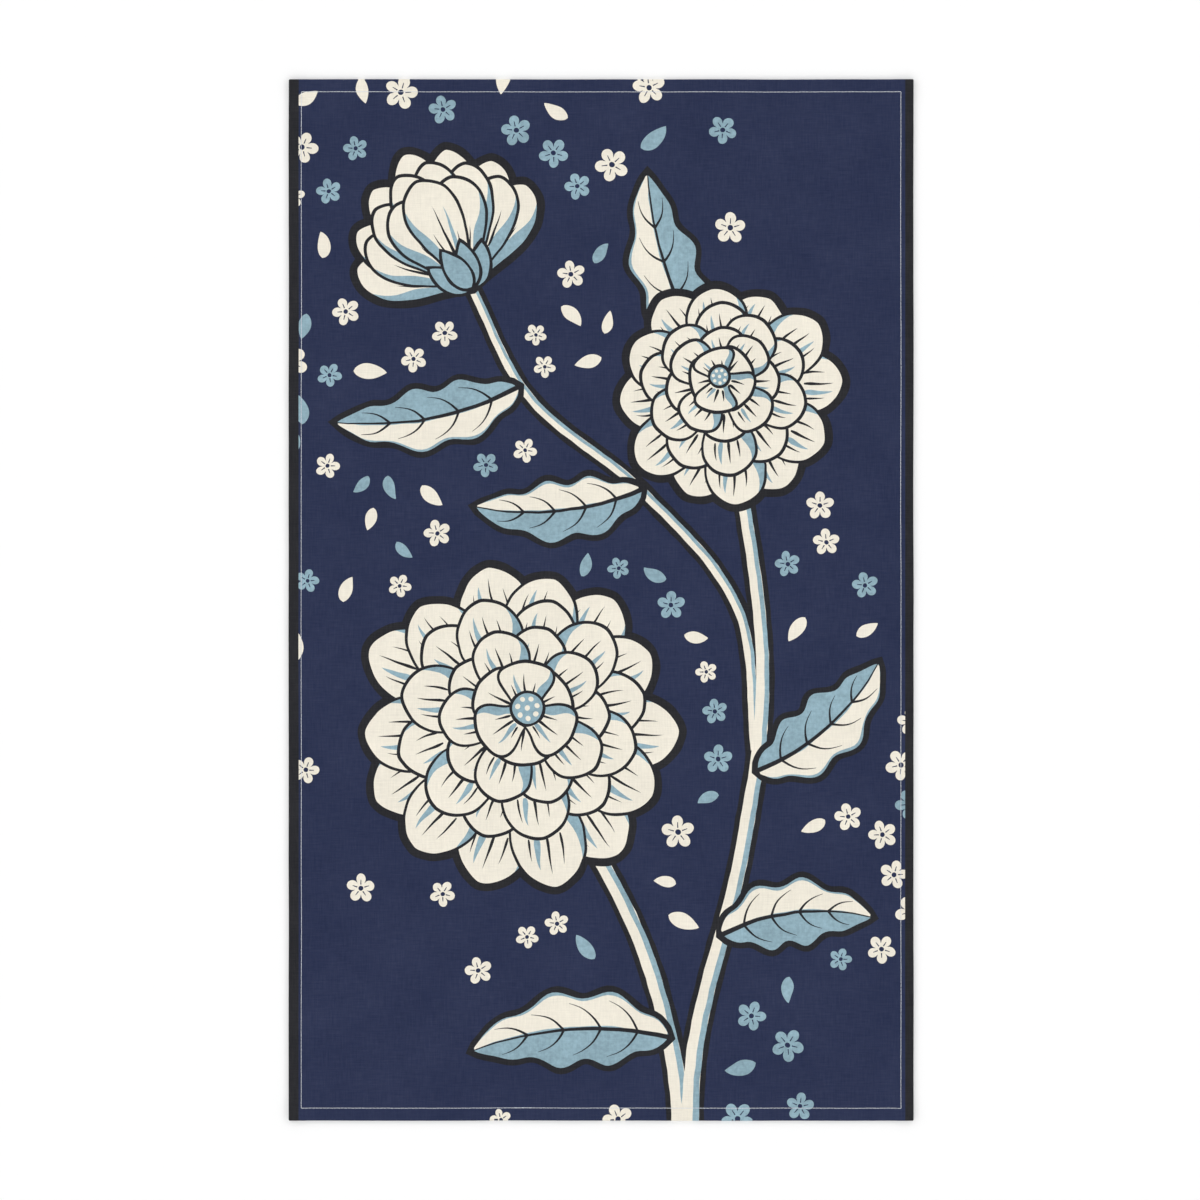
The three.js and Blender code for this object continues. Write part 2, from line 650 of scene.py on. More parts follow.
    def side_vein(self, root, tip, bow):
        """A bowed vein that thins towards its tip."""
        reach = tip - root
        line = [root + reach * share + 1j * reach * bow * math.sin(math.pi * share) for share in even(8)]
        self.fill("dark", strip(line, tapered(0.0019, 0.0003)), 0.0002)

    def small_blossom(self, centre, radius, ink):
        """A five-petalled blossom in one ink, with an open middle and short stamens."""
        turn = self.random.uniform(0, math.tau)
        petals = 5
        points_each = 16
        outline = []
        for step in range(petals * points_each):
            petal = step / points_each
            lobe = abs(math.sin(math.pi * petal)) ** 0.62
            reach = radius * (0.42 + 0.58 * lobe)
            outline.append(centre + cmath.rect(reach, turn + math.tau * petal / petals))
        self.fill(ink, outline)
        self.fill("navy", circle(centre, radius * 0.17, DOT_POINTS))
        for k in range(petals):
            angle = turn + math.tau * (k + 0.5) / petals
            stamen = [centre + cmath.rect(radius * reach, angle) for reach in (0.26, 0.43, 0.60)]
            self.fill("navy", strip(stamen, tapered(0.0009, 0.0005)), 0.0)

    def small_leaf(self, centre, half_length, ink):
        """A loose leaf in one ink."""
        turn = self.random.uniform(0, math.tau)
        bend = self.random.uniform(-0.8, 0.8)
        base = centre - cmath.rect(half_length, turn)
        blade = Blade(base, turn - bend / 2, 2 * half_length, half_length * 0.95, bend, sepal_shape)
        self.fill(ink, blade.outline(SEPAL_STEPS))

    def scatter(self):
        """Small blossoms and leaves in the space that the large motifs leave free."""
        chance = self.random.uniform
        free = self.settings.contour + SCATTER_GAP
        placed = []
        for _ in range(SCATTER_TRIES):
            if len(placed) == self.settings.scattered:
                break
            x = chance(-TOWEL_WIDTH / 2, TOWEL_WIDTH / 2)
            y = chance(-TOWEL_LENGTH / 2, TOWEL_LENGTH / 2)
            size = chance(*SCATTER_SIZES)
            off_diagonal = x / TOWEL_WIDTH + y / TOWEL_LENGTH
            if chance(0, 1) > math.exp(-(off_diagonal / SCATTER_BREADTH) ** 2):
                continue
            right_of_bare = x + size > TOWEL_WIDTH / 2 - BARE_CORNER_WIDTH
            if right_of_bare and y - size < BARE_CORNER_HEIGHT - TOWEL_LENGTH / 2:
                continue
            here = complex(x, y)
            if any(abs(here - other) < size + other_size + SCATTER_GAP for other, other_size in placed):
                continue
            if any(holds(edge, here) or distance_to(edge, here) < size + free for edge in self.outlines):
                continue
            placed.append((here, size))
        for here, size in placed:
            ink = "cream" if chance(0, 1) < CREAM_SHARE else "blue"
            if chance(0, 1) < BLOSSOM_SHARE:
                self.small_blossom(here, size, ink)
            else:
                self.small_leaf(here, size, ink)

    def side_bands(self):
        """The dark bands along the two long sides. They run past the cloth's edges."""
        past = 0.02
        half_width, half_length = TOWEL_WIDTH / 2, TOWEL_LENGTH / 2 + past
        for sign, width in ((-1, self.settings.left_band), (1, self.settings.right_band)):
            inner, outer = sign * (half_width - width), sign * (half_width + past)
            self.patches.append(("dark", closed([
                complex(inner, -half_length), complex(outer, -half_length),
                complex(outer, half_length), complex(inner, half_length),
            ])))

    def draw(self):
        """The whole pattern, from the lowest patch to the topmost."""
        self.stems()
        for row in LEAVES:
            self.leaf(row)
        self.opening_blossom(OPENING_BLOSSOM)
        for row in BLOSSOMS:
            self.blossom(row)
        self.scatter()
        self.side_bands()


# The cloth

# Steps between places over the single cloth, along the hems, and on the slope and the fold.
GRID_STEP = 0.0100
EDGE_STEP = 0.0030
WIDE_EDGE_STEP = EDGE_STEP * 1.5

# Places of the plan that lie closer than this are one place.
SNAP = 2e-6

# The width of the step from the hem to the single cloth on the back, and of the fade past a corner.
HEM_STEP_WIDTH = 0.0003
CORNER_FADE = 0.004

# The groove that the seam draws: its half width, and where it has run out.
GROOVE_WIDTH = 0.0007
GROOVE_END = 0.0011

# The cloth's broad and fine swells, its puckers and its waver, as how many there are in a metre.
BROAD_SWELLS = 7.5
FINE_SWELLS = 24.0
PUCKERS = 130.0
WAVERS = 16

# How high the puckers are, and how far from the seam they reach.
PUCKER_HEIGHT = 0.00010
PUCKER_REACH = 0.004

# How finely the folded edge is rounded, and how finely it turns a corner.
FOLD_ROWS = 8
CORNER_SPOKES = 6


def sides_of(triangle):
    """A triangle's three directed edges."""
    a, b, c = triangle
    return (a, b), (b, c), (c, a)


def eased_array(share):
    """The same as eased, for an array."""
    share = np.clip(share, 0.0, 1.0)
    return share * share * (3 - 2 * share)


class ClothShape:
    """Heights of the towel's two faces over its plan, and the plan's slight waver."""

    def __init__(self, cloth, sewing):
        self.cloth = cloth
        self.sewing = sewing
        self.fold_radius = cloth.hem_thickness / 2
        self.seam_half = complex(TOWEL_WIDTH / 2 - sewing.inset, TOWEL_LENGTH / 2 - sewing.inset)
        self.across_count = round(2 * self.seam_half.real / sewing.stitch)
        self.along_count = round(2 * self.seam_half.imag / sewing.stitch)

    def insets(self, x, y):
        """How far a place lies in from the nearest side, and from the nearest end."""
        return TOWEL_WIDTH / 2 - np.abs(x), TOWEL_LENGTH / 2 - np.abs(y)

    def lift(self, x, y):
        """1 over the hems, falling to 0 on the single cloth beside them."""
        from_side, from_end = self.insets(x, y)
        flat_side = eased_array((from_side - self.cloth.hem_width) / self.cloth.hem_fall)
        flat_end = eased_array((from_end - self.cloth.hem_width) / self.cloth.hem_fall)
        return 1 - flat_side * flat_end

    def corner(self, x, y):
        """1 where two hems cross, and 0 away from the corners."""
        from_side, from_end = self.insets(x, y)
        over_side = 1 - eased_array((from_side - self.cloth.hem_width) / CORNER_FADE)
        over_end = 1 - eased_array((from_end - self.cloth.hem_width) / CORNER_FADE)
        return over_side * over_end

    def seam(self, x, y):
        """How strongly the thread draws the cloth in: most at the needle holes, less between them."""
        beyond_x = np.abs(x) - self.seam_half.real
        beyond_y = np.abs(y) - self.seam_half.imag
        outside = np.hypot(np.maximum(beyond_x, 0), np.maximum(beyond_y, 0))
        distance = np.abs(outside + np.minimum(np.maximum(beyond_x, beyond_y), 0))
        on_long_seam = beyond_x > beyond_y
        along_share = (y + self.seam_half.imag) / (2 * self.seam_half.imag) * self.along_count
        across_share = (x + self.seam_half.real) / (2 * self.seam_half.real) * self.across_count
        phase = np.where(on_long_seam, along_share, across_share)
        return np.exp(-(distance / GROOVE_WIDTH) ** 2) * (0.66 + 0.34 * np.cos(math.tau * phase))

    def swell(self, x, y):
        """The soft unevenness of cloth that was washed and smoothed by hand."""
        heights = []
        for px, py in zip(x, y):
            broad = noise.noise(Vector((px * BROAD_SWELLS, py * BROAD_SWELLS, 3.1)))
            fine = noise.noise(Vector((px * FINE_SWELLS, py * FINE_SWELLS, 8.4)))
            heights.append(broad + 0.45 * fine)
        return np.array(heights)

    def pucker(self, x, y):
        """Short ripples that the seam draws into the hem."""
        from_side, from_end = self.insets(x, y)
        near = np.exp(-((np.minimum(from_side, from_end) - self.sewing.inset) / PUCKER_REACH) ** 2)
        ripples = np.zeros(len(x))
        for index in np.flatnonzero(near > 0.01):
            place = Vector((x[index] * PUCKERS, y[index] * PUCKERS, 5.7))
            ripples[index] = near[index] * noise.noise(place)
        return ripples

    def upper(self, x, y):
        """Height of the printed face."""
        cloth = self.cloth
        height = cloth.thickness + (cloth.hem_thickness - cloth.thickness) * self.lift(x, y)
        height += cloth.corner_rise * self.corner(x, y)
        height += cloth.unevenness * self.swell(x, y) * (1 - 0.6 * self.lift(x, y))
        height += PUCKER_HEIGHT * self.pucker(x, y)
        return height - self.sewing.depth * self.seam(x, y)

    def under(self, x, y):
        """Height of the back: level under the hem, and a step up to the single cloth beside it."""
        cloth = self.cloth
        from_side, from_end = self.insets(x, y)
        past_hem = np.minimum(from_side, from_end) - cloth.hem_width
        step = np.clip(past_hem / HEM_STEP_WIDTH, 0.0, 1.0)
        raised = (cloth.hem_thickness - cloth.thickness) * self.lift(x, y) * step
        return raised + self.sewing.depth * 1.15 * self.seam(x, y)

    def settled(self, x, y):
        """The plan with the slight waver of cut and folded cloth."""
        offsets = np.array([stray(complex(px, py) * WAVERS, 1.9) for px, py in zip(x, y)])
        return x + self.cloth.waver * offsets.real, y + self.cloth.waver * offsets.imag


def rectangle_loop(inset, step):
    """Places along a rectangle inside the towel's edge, the corners among them."""
    half_width, half_length = TOWEL_WIDTH / 2 - inset, TOWEL_LENGTH / 2 - inset
    corners = (
        complex(-half_width, -half_length), complex(half_width, -half_length),
        complex(half_width, half_length), complex(-half_width, half_length),
    )
    loop = []
    for start, end in zip(corners, corners[1:] + corners[:1]):
        count = max(1, round(abs(end - start) / step))
        loop += [between(start, end, share) for share in even(count)[:-1]]
    return loop


def seam_runs(shape, steps_each):
    """The seam's four straight runs, as places from corner to corner, with so many steps to each stitch."""
    half = shape.seam_half
    corners = (-half, half.conjugate(), half, -half.conjugate())
    counts = (shape.across_count, shape.along_count, shape.across_count, shape.along_count)
    runs = []
    for start, end, count in zip(corners, corners[1:] + corners[:1], counts):
        runs.append([between(start, end, share) for share in even(steps_each * count)])
    return runs


class Plan:
    """The towel's plan, cut into triangles along the hem's lines and wherever the ink changes."""

    def __init__(self, shape, patches):
        self.places = []
        self.edges = []
        self.faces = []
        self.add_loop(rectangle_loop(shape.fold_radius, EDGE_STEP), as_face=True)
        self.print_start = len(self.places)
        for _, outline in patches:
            self.add_loop(outline, as_face=True)
        self.cloth_start = len(self.places)
        self.add_hem_lines(shape)
        self.add_grid(shape)
        corners, lines, left_ink = self.cut_all([INKS.index(ink) for ink, _ in patches])
        self.cut_visible(corners, lines, left_ink)

    def add_loop(self, loop, as_face=False):
        """Adds a closed line, as an outline that encloses its inside or as a plain one."""
        start = len(self.places)
        numbers = list(range(start, start + len(loop)))
        self.places += loop
        if as_face:
            self.faces.append(numbers)
        else:
            self.edges += list(zip(numbers, numbers[1:] + numbers[:1]))

    def add_line(self, start, end):
        """Adds a line with two ends."""
        self.edges.append((len(self.places), len(self.places) + 1))
        self.places += [start, end]

    def add_hem_lines(self, shape):
        """Lines where the cloth's height changes: the seam, the hem's inner fold and the slope there."""
        cloth, sewing = shape.cloth, shape.sewing
        for inset in (cloth.hem_width, cloth.hem_width + HEM_STEP_WIDTH):
            self.add_loop(rectangle_loop(inset, EDGE_STEP))
        # At the corners of the back the end hems lie over the side hems.
        outer, inner = TOWEL_WIDTH / 2 - shape.fold_radius, TOWEL_WIDTH / 2 - cloth.hem_width
        level = TOWEL_LENGTH / 2 - cloth.hem_width
        for x in (-1, 1):
            for y in (-1, 1):
                self.add_line(complex(x * outer, y * level), complex(x * inner, y * level))
        self.places += rectangle_loop(sewing.inset / 2, WIDE_EDGE_STEP)
        for off in (-GROOVE_END, GROOVE_END):
            self.places += rectangle_loop(sewing.inset + off, EDGE_STEP)
        for share in (0.25, 0.5, 0.75, 1.0):
            self.places += rectangle_loop(cloth.hem_width + cloth.hem_fall * share, WIDE_EDGE_STEP)
        # Every needle hole, and the middle of every stitch.
        for run in seam_runs(shape, 2):
            self.places += run[:-1]

    def add_grid(self, shape):
        """Places over the single cloth, for its swells."""
        margin = shape.cloth.hem_width + shape.cloth.hem_fall + GRID_STEP / 2
        across = np.arange(-TOWEL_WIDTH / 2 + margin, TOWEL_WIDTH / 2 - margin, GRID_STEP)
        along = np.arange(-TOWEL_LENGTH / 2 + margin, TOWEL_LENGTH / 2 - margin, GRID_STEP)
        self.places += [complex(x, y) for x in across for y in along]

    def cut_all(self, inks):
        """Cuts the plan along every outline and finds the topmost ink to the left of every edge.

        Returns the corners that the cloth needs, as a table from number to place, the lines to keep,
        and the inks.
        """
        flat = [Vector((place.real, place.imag)) for place in self.places]
        found = delaunay_2d_cdt(flat, self.edges, self.faces, 1, SNAP, True)
        places, lines, triangles, corner_sources, line_sources, owners = found
        left_ink = {}
        for triangle, owner in zip(triangles, owners):
            if 0 in owner:
                topmost = max(owner)
                for edge in sides_of(triangle):
                    left_ink[edge] = inks[topmost - 1] if topmost else 0
        kept = []
        for (start, end), sources in zip(lines, line_sources):
            left, right = left_ink.get((start, end)), left_ink.get((end, start))
            on_hem = any(source < len(self.edges) for source in sources)
            if left != right or (on_hem and left is not None):
                kept.append((start, end))
        needed = {corner for line in kept for corner in line}
        for corner, sources in enumerate(corner_sources):
            if any(source < self.print_start or source >= self.cloth_start for source in sources):
                needed.add(corner)
        return {corner: places[corner] for corner in sorted(needed)}, kept, left_ink

    def cut_visible(self, corners, lines, left_ink):
        """Cuts the plan again, along the lines that are seen, and spreads the inks from them."""
        number_of = {corner: number for number, corner in enumerate(corners)}
        edges = [(number_of[start], number_of[end]) for start, end in lines]
        places, cuts, triangles, _, sources_of, _ = delaunay_2d_cdt(
            list(corners.values()), edges, [], 0, SNAP, True
        )
        ink_beside = {}
        for (start, end), sources in zip(cuts, sources_of):
            for source in sources:
                line = lines[source]
                if (places[end] - places[start]).dot(corners[line[1]] - corners[line[0]]) < 0:
                    line = line[::-1]
                ink_beside[start, end] = left_ink.get(line)
                ink_beside[end, start] = left_ink.get(line[::-1])
        triangle_beside = {
            edge: number for number, triangle in enumerate(triangles) for edge in sides_of(triangle)
        }
        inks = {}
        spreading = []
        for number, triangle in enumerate(triangles):
            for edge in sides_of(triangle):
                if ink_beside.get(edge) is not None:
                    inks[number] = ink_beside[edge]
                    spreading.append(number)
                    break
        while spreading:
            number = spreading.pop()
            for start, end in sides_of(triangles[number]):
                neighbour = triangle_beside.get((end, start))
                if neighbour is not None and neighbour not in inks and (start, end) not in ink_beside:
                    inks[neighbour] = inks[number]
                    spreading.append(neighbour)
        self.x = np.array([place.x for place in places])
        self.y = np.array([place.y for place in places])
        self.triangles = [list(triangle) for triangle in triangles]
        self.inks = [inks.get(number, 0) for number in range(len(triangles))]

    def rim(self):
        """The plan's edge, counter-clockwise, as pairs of a corner and the ink of the edge after it."""
        after = {
            edge: ink for triangle, ink in zip(self.triangles, self.inks) for edge in sides_of(triangle)
        }
        outer = {start: (end, ink) for (start, end), ink in after.items() if (end, start) not in after}
        first = min(outer)
        loop = [(first, outer[first][1])]
        while outer[loop[-1][0]][0] != first:
            here = outer[loop[-1][0]][0]
            loop.append((here, outer[here][1]))
        return loop


def spokes_of(shape, plan, loop):
    """Which way the fold turns out at each corner of the rim, with a fan of ways at the towel's corners."""
    side = TOWEL_WIDTH / 2 - shape.fold_radius
    end = TOWEL_LENGTH / 2 - shape.fold_radius
    near = 1e-5
    spokes = []
    for corner, ink in loop:
        x, y = plan.x[corner], plan.y[corner]
        at_side = abs(abs(x) - side) < near
        at_end = abs(abs(y) - end) < near
        across = 0.0 if x > 0 else math.pi
        along = math.pi / 2 if y > 0 else -math.pi / 2
        if at_side and at_end:
            middle = cmath.phase(complex(math.copysign(1, x), math.copysign(1, y)))
            for share in even(CORNER_SPOKES):
                spokes.append((corner, middle + (share - 0.5) * math.pi / 2, ink))
        else:
            spokes.append((corner, across if at_side else along, ink))
    return spokes


def pressed(share):
    """Turns a round fold into the blunter one of an ironed edge."""
    return math.copysign(abs(share) ** 0.8, share)


def back_ink(x, y, ink_in_front, cloth, print_settings):
    """The ink at a place of the back, and its strength: the hem's, or a ghost of the one in front."""
    if TOWEL_LENGTH / 2 - abs(y) < cloth.hem_width:
        left = x < -TOWEL_WIDTH / 2 + print_settings.left_band
        right = x > TOWEL_WIDTH / 2 - print_settings.right_band
        return INKS.index("dark" if left or right else "navy"), 1.0
    if TOWEL_WIDTH / 2 - abs(x) < cloth.hem_width:
        return INKS.index("dark"), 1.0
    return ink_in_front, print_settings.show_through


def cloth_mesh(shape, plan, print_settings):
    """One closed mesh: the printed face, the folded rim and the back, with the ink of every face."""
    count = len(plan.x)
    x, y = shape.settled(plan.x, plan.y)
    upper, under = shape.upper(plan.x, plan.y), shape.under(plan.x, plan.y)
    vertices = [*zip(x, y, upper), *zip(x, y, under)]
    faces = list(plan.triangles)
    inks = list(plan.inks)
    strengths = [1.0] * len(faces)

    for (a, b, c), ink in zip(plan.triangles, plan.inks):
        middle_x = (plan.x[a] + plan.x[b] + plan.x[c]) / 3
        middle_y = (plan.y[a] + plan.y[b] + plan.y[c]) / 3
        faces.append((c + count, b + count, a + count))
        ink_behind, strength = back_ink(middle_x, middle_y, ink, shape.cloth, print_settings)
        inks.append(ink_behind)
        strengths.append(strength)

    spokes = spokes_of(shape, plan, plan.rim())
    columns = []
    for corner, heading, ink in spokes:
        middle = (upper[corner] + under[corner]) / 2
        half = (upper[corner] - under[corner]) / 2
        column = [corner]
        for row in range(1, FOLD_ROWS):
            angle = math.pi / 2 - math.pi * row / FOLD_ROWS
            reach = shape.fold_radius * pressed(math.cos(angle))
            column.append(len(vertices))
            vertices.append((
                x[corner] + reach * math.cos(heading),
                y[corner] + reach * math.sin(heading),
                middle + half * pressed(math.sin(angle)),
            ))
        columns.append(column + [corner + count])
    for column, following, (_, _, ink) in zip(columns, columns[1:] + columns[:1], spokes):
        for row in range(FOLD_ROWS):
            face = [column[row], column[row + 1], following[row + 1], following[row]]
            faces.append(list(dict.fromkeys(face)))
            inks.append(ink)
            strengths.append(1.0)

    mesh = bpy.data.meshes.new("tea_towel_cloth")
    mesh.from_pydata(vertices, [], faces)
    mesh.polygons.foreach_set("use_smooth", [True] * len(faces))
    paint(mesh, inks, strengths, print_settings)
    mesh.update()
    return mesh


def paint(mesh, inks, strengths, print_settings):
    """Stores each face's ink, with its mottling in the alpha, and how strongly it shows."""
    colours = np.array([[*getattr(print_settings, ink), MOTTLE[ink]] for ink in INKS])
    corners_of = np.empty(len(mesh.polygons), dtype=int)
    mesh.polygons.foreach_get("loop_total", corners_of)
    ink = mesh.attributes.new("ink", "FLOAT_COLOR", "CORNER")
    ink.data.foreach_set("color", np.repeat(colours[inks], corners_of, axis=0).ravel())
    strength = mesh.attributes.new("ink_strength", "FLOAT", "CORNER")
    strength.data.foreach_set("value", np.repeat(strengths, corners_of))


# Materials

class NodeTree:
    """Adds nodes to a tree and joins them, so that a material reads as a sum."""

    def __init__(self, tree):
        self.tree = tree

    def add(self, kind, inputs=(), **settings):
        """A node with its settings and inputs. An input is a value or another node's output."""
        node = self.tree.nodes.new(kind)
        for name, value in settings.items():
            setattr(node, name, value)
        for name, value in dict(inputs).items():
            self.put(node.inputs[name], value)
        return node

    def put(self, socket, value):
        """Joins a socket to another node's output, or sets its value."""
        if isinstance(value, bpy.types.NodeSocket):
            self.tree.links.new(value, socket)
        else:
            socket.default_value = value

    def math(self, operation, *values):
        """A step of arithmetic."""
        return self.add("ShaderNodeMath", enumerate(values), operation=operation).outputs[0]

    def vector(self, operation, *vectors):
        """A step of arithmetic on vectors."""
        return self.add("ShaderNodeVectorMath", enumerate(vectors), operation=operation).outputs[0]

    def scaled(self, vector, factor):
        """A vector or a colour times a number."""
        node = self.add("ShaderNodeVectorMath", {0: vector, "Scale": factor}, operation="SCALE")
        return node.outputs[0]

    def mix(self, share, one, two):
        """A colour mix."""
        node = self.add("ShaderNodeMix", data_type="RGBA")
        self.put(node.inputs[0], share)
        self.put(node.inputs[6], one)
        self.put(node.inputs[7], two)
        return node.outputs[2]

    def streaks(self, vector, scale, detail=2.0):
        """Noise from 0 to 1, drawn out by a different scale along each axis."""
        stretched = self.add("ShaderNodeMapping", {"Vector": vector, "Scale": scale})
        streaky = self.add("ShaderNodeTexNoise", {
            "Vector": stretched.outputs[0], "Scale": 1.0, "Detail": detail, "Roughness": 0.55,
        })
        return streaky.outputs[0]

    def crossed_streaks(self, vector, fine, long):
        """Streaks along Y plus streaks along X, from -1 to 1."""
        upright = self.streaks(vector, (fine, long, 1.0))
        level = self.streaks(vector, (long, fine, 1.0))
        return self.math("SUBTRACT", self.math("ADD", upright, level), 1.0)


def new_material(name, slot_colour):
    """A material, its nodes and its shader."""
    material = bpy.data.materials.new(name)
    material.use_nodes = True
    material.diffuse_color = (*slot_colour, 1.0)
    return material, NodeTree(material.node_tree), material.node_tree.nodes["Principled BSDF"]


def weave_height(nodes, place, pitch):
    """Height of a plain weave, from 0 to 1: each thread goes over one and under the next."""
    parts = nodes.add("ShaderNodeSeparateXYZ", {0: place})
    x = nodes.math("DIVIDE", parts.outputs[0], pitch)
    y = nodes.math("DIVIDE", parts.outputs[1], pitch)
    column, row = nodes.math("ROUND", x), nodes.math("ROUND", y)

    def thread(across, number, along):
        off = nodes.math("MULTIPLY", nodes.math("SUBTRACT", across, number), 2.0)
        body = nodes.math("SUBTRACT", 1.0, nodes.math("MULTIPLY", off, off))
        wave = nodes.math("COSINE", nodes.math("MULTIPLY", along, math.pi))
        return body, wave

    warp_body, warp_wave = thread(x, column, nodes.math("ADD", y, column))
    weft_body, weft_wave = thread(y, row, nodes.math("ADD", x, row))
    warp = nodes.math("MULTIPLY", warp_body, nodes.math("MULTIPLY_ADD", warp_wave, 0.5, 0.5))
    weft = nodes.math("MULTIPLY", weft_body, nodes.math("MULTIPLY_ADD", weft_wave, -0.5, 0.5))
    return nodes.math("MAXIMUM", warp, weft)


# From one thread to the next, in metres, and how many slubs, bundles, clouds and blotches there are in
# a metre. Those along the threads have a second number, for the other way.
WEAVE_PITCH = 0.00055
SLUBS = (1800.0, 70.0)
BUNDLES = (800.0, 90.0)
CLOUDS = 22.0
BLOTCHES = 380.0

# How many tufts of fuzz there are in a metre of sewing thread.
TUFTS = 2600.0


def printed_cotton(cloth_settings, print_settings):
    """Plain-woven cotton with the print in it. The back shows the undyed cloth and a ghost of the print."""
    material, nodes, shader = new_material("printed_cotton", print_settings.navy)
    place = nodes.add("ShaderNodeTexCoord").outputs["Object"]
    ink = nodes.add("ShaderNodeAttribute", attribute_name="ink")
    strength = nodes.add("ShaderNodeAttribute", attribute_name="ink_strength").outputs["Fac"]

    height = weave_height(nodes, place, WEAVE_PITCH)
    # Each pair of streaks runs along the warp and along the weft, and their sum varies about 0.
    slub = nodes.crossed_streaks(place, *SLUBS)
    bundle = nodes.crossed_streaks(place, *BUNDLES)
    cloudy = nodes.math("SUBTRACT", nodes.streaks(place, (CLOUDS,) * 3, detail=3.0), 0.5)
    blotchy = nodes.math("SUBTRACT", nodes.streaks(place, (BLOTCHES,) * 3, detail=3.0), 0.5)
    streaky = nodes.math("MULTIPLY_ADD", slub, 1.3, nodes.math("MULTIPLY", bundle, 0.8))
    uneven = nodes.math("MULTIPLY_ADD", cloudy, 0.9, streaky)

    # Thin ink lets a little undyed cotton show between the threads.
    hollow = nodes.math("SUBTRACT", 1.0, height)
    thin = nodes.math("MULTIPLY_ADD", hollow, 0.006, 0.004)
    worn = nodes.math("MAXIMUM", nodes.math("MULTIPLY_ADD", uneven, 0.0127, thin), 0.0)
    cover = nodes.math("MULTIPLY", strength, nodes.math("SUBTRACT", 1.0, worn))
    undyed = (*cloth_settings.undyed, 1.0)
    colour = nodes.mix(cover, undyed, ink.outputs["Color"])

    # Slubs and the cloudy drying of the ink change how bright it is, and painted shade darkens the hollows
    # between the threads while their crowns are painted lighter.
    threads = nodes.math("MULTIPLY_ADD", uneven, 0.14, 1.0)
    # Painted shade between the threads and a painted highlight on their crowns, from the weave's height.
    painted_weave_shade = nodes.math("MULTIPLY_ADD", height, 0.26, 0.84)
    clouds = nodes.math("ADD", cloudy, nodes.math("MULTIPLY", blotchy, 1.5))
    drying = nodes.math("MULTIPLY_ADD", nodes.math("MULTIPLY", clouds, ink.outputs["Alpha"]), 0.42, 1.0)
    bright = nodes.math("MULTIPLY", nodes.math("MULTIPLY", threads, painted_weave_shade), drying)
    nodes.put(shader.inputs["Base Color"], nodes.scaled(colour, bright))

    rough = nodes.math("MULTIPLY_ADD", height, -0.08, 0.95)
    nodes.put(shader.inputs["Roughness"], rough)
    shader.inputs["Specular IOR Level"].default_value = 0.10
    shader.inputs["Sheen Weight"].default_value = 0.04
    shader.inputs["Sheen Roughness"].default_value = 0.5

    threads_high = nodes.math("MULTIPLY_ADD", slub, 0.45, height)
    bump = nodes.add("ShaderNodeBump", {"Height": threads_high, "Strength": 0.55, "Distance": 0.00012})
    nodes.put(shader.inputs["Normal"], bump.outputs[0])
    return material


def sewing_thread(sewing):
    """Two-ply cotton thread, with the plies' twist as fine slanted ribs in its bump, and as painted shade
    in the grooves between them with lighter crests.
    """
    material, nodes, shader = new_material("sewing_thread", sewing.colour)
    along = nodes.add("ShaderNodeAttribute", attribute_name="along").outputs["Fac"]
    around = nodes.add("ShaderNodeAttribute", attribute_name="around").outputs["Fac"]
    turns = nodes.math("ADD", nodes.math("MULTIPLY", along, 3.0), nodes.math("MULTIPLY", around, 2.0))
    ribs_and_groove_shade = nodes.math("MULTIPLY_ADD", nodes.math("SINE", nodes.math("MULTIPLY", turns, math.tau)), 0.5, 0.5)
    place = nodes.add("ShaderNodeTexCoord").outputs["Object"]
    fuzz = nodes.streaks(place, (TUFTS,) * 3)
    # The ribs also paint shade into the colour: darker in the grooves between the plies, lighter on their
    # crests.
    bright = nodes.math("MULTIPLY_ADD", ribs_and_groove_shade, 0.22, nodes.math("MULTIPLY_ADD", fuzz, 0.20, 0.70))
    nodes.put(shader.inputs["Base Color"], nodes.scaled((*sewing.colour,), bright))
    nodes.put(shader.inputs["Roughness"], nodes.math("MULTIPLY_ADD", fuzz, 0.15, 0.68))
    shader.inputs["Specular IOR Level"].default_value = 0.25
    shader.inputs["Sheen Weight"].default_value = 0.08
    bump = nodes.add("ShaderNodeBump", {"Height": ribs_and_groove_shade, "Strength": 0.6, "Distance": 0.00005})
    nodes.put(shader.inputs["Normal"], bump.outputs[0])
    return material


def pale_floor(colour):
    """The plain floor."""
    material, _, shader = new_material("pale_floor", colour)
    shader.inputs["Base Color"].default_value = (*colour, 1.0)
    shader.inputs["Roughness"].default_value = 0.9
    shader.inputs["Specular IOR Level"].default_value = 0.1
    return material


# Stitches, by geometry nodes

# The seam ends by going over a few of its first stitches again, a share of the thread to the side.
BACKTACK_START = 60
BACKTACK_STITCHES = 5
BACKTACK_OFFSET = 0.3

# How high a stitch lies over the cloth on each face, and how deep its ends dip into the needle holes,
# as shares of the thread's thickness.
FRONT_RISE = 0.70
BACK_RISE = 0.25
STITCH_DIP = 0.3

STITCH_INPUTS = (
    ("Path", "NodeSocketGeometry"),
    ("Thread Thickness", "NodeSocketFloat"),
    ("Gap", "NodeSocketFloat"),
    ("Rise", "NodeSocketFloat"),
    ("Dip", "NodeSocketFloat"),
    ("Facing", "NodeSocketVector"),
    ("Jitter", "NodeSocketFloat"),
    ("Seed", "NodeSocketInt"),
    ("Thread", "NodeSocketMaterial"),
)


